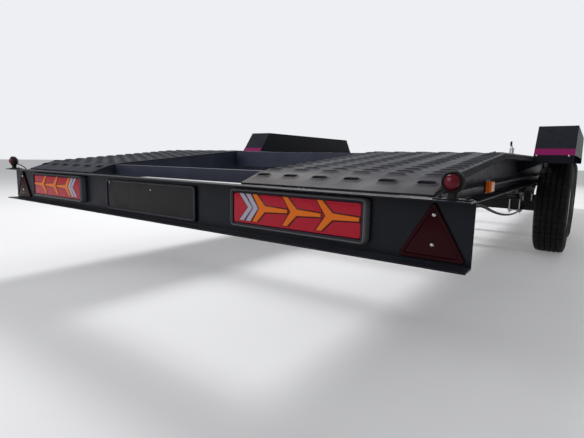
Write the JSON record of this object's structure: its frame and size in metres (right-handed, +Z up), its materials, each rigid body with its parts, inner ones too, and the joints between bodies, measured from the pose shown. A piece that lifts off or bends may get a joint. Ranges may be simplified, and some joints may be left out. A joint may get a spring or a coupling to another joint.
{
  "type": "car transporter trailer",
  "caption": "Open car transporter trailer with two perforated runways, outboard wheels under mudguards, V drawbar and jockey wheel.",
  "frame": {"origin": "on the ground, midway between the trailer's two sides and midway between its rear end and the coupling's nose", "axes": "+X to the trailer's right, +Y forward to the coupling, +Z up"},
  "size_m": [2.456, 7.048, 0.908],
  "materials": {
    "frame_paint": "semi-gloss near-black navy paint with road dust",
    "deck_paint": "dusty dark grey paint, worn",
    "axle_paint": "matt black paint",
    "spring_steel": "dark painted spring steel",
    "zinc_steel": "zinc plated",
    "cast_black": "black painted casting",
    "wheel_silver": "silver lacquer",
    "tyre": "matt rubber",
    "black_rubber": "matt",
    "black_plastic": "fine grained",
    "reflex_frame": "clear grey reflex pattern",
    "lamp_red": "glossy red lens",
    "lamp_grey": "clear grey lens",
    "lamp_amber": "glossy amber lens",
    "reflector_red": "red prismatic reflector",
    "strip_pink": "pink reflective strip",
    "cable_black": "black sheath"
  },
  "bodies": {
    "chassis": {"axle_clamps": "zinc_steel", "axles": "axle_paint", "brake_linkage": "zinc_steel", "cable_fittings": "black_plastic", "coupling_handle": "black_plastic", "coupling_head": "cast_black", "crossmembers": "frame_paint", "decks": "deck_paint", "drawbar_arms": "frame_paint", "drawbar_head_plates": "frame_paint", "front_beam": "frame_paint", "handbrake_lever": "zinc_steel", "inner_rails": "frame_paint", "jockey_clamp": "zinc_steel", "jockey_tube": "zinc_steel", "lamp_arrows": "lamp_amber", "lamp_chevrons": "lamp_grey", "leaf_springs": "spring_steel", "marker_bodies": "black_rubber", "marker_lenses": "lamp_red", "mudguard_carriers": "frame_paint", "mudguard_strips": "strip_pink", "mudguards": "frame_paint", "overrun_gaiter": "black_rubber", "overrun_housing": "cast_black", "plate_holder": "black_plastic", "ramps": "deck_paint", "rear_beam": "frame_paint", "rear_cable": "cable_black", "runway_bearers": "frame_paint", "side_beams": "frame_paint", "side_marker_bases": "black_plastic", "side_marker_lenses": "lamp_amber", "spring_hangers": "axle_paint", "spring_rockers": "axle_paint", "tail_lamp_frames": "reflex_frame", "tail_lamp_lenses": "lamp_red", "triangle_reflectors": "reflector_red"},
    "wheel_rear_left": {"tyre_rear_left": "tyre", "rim_rear_left": "wheel_silver"},
    "wheel_rear_right": {"tyre_rear_right": "tyre", "rim_rear_right": "wheel_silver"},
    "wheel_front_left": {"tyre_front_left": "tyre", "rim_front_left": "wheel_silver"},
    "wheel_front_right": {"tyre_front_right": "tyre", "rim_front_right": "wheel_silver"},
    "jockey_slider": {"jockey_leg": "zinc_steel"},
    "jockey_caster": {"jockey_fork": "zinc_steel"},
    "jockey_roller": {"jockey_wheel": "black_rubber"}
  },
  "joints": [
    {"name": "wheel_rear_left_spin", "type": "hinge", "parent": "chassis", "child": "wheel_rear_left", "pos_m": [-1.128, -1.136, 0.299], "axis": [1, 0, 0], "continuous": true},
    {"name": "wheel_rear_right_spin", "type": "hinge", "parent": "chassis", "child": "wheel_rear_right", "pos_m": [1.128, -1.136, 0.299], "axis": [1, 0, 0], "continuous": true},
    {"name": "wheel_front_left_spin", "type": "hinge", "parent": "chassis", "child": "wheel_front_left", "pos_m": [-1.128, -0.436, 0.299], "axis": [1, 0, 0], "continuous": true},
    {"name": "wheel_front_right_spin", "type": "hinge", "parent": "chassis", "child": "wheel_front_right", "pos_m": [1.128, -0.436, 0.299], "axis": [1, 0, 0], "continuous": true},
    {"name": "jockey_leg_slide", "type": "slide", "parent": "chassis", "child": "jockey_slider", "axis": [0, 0, 1], "range_m": [0, 0.15]},
    {"name": "jockey_swivel", "type": "hinge", "parent": "jockey_slider", "child": "jockey_caster", "pos_m": [0.27002, 2.854, 0.2], "axis": [0, 0, 1], "continuous": true},
    {"name": "jockey_wheel_spin", "type": "hinge", "parent": "jockey_caster", "child": "jockey_roller", "pos_m": [0.27002, 2.814, 0.1], "axis": [1, 0, 0], "continuous": true}
  ]
}
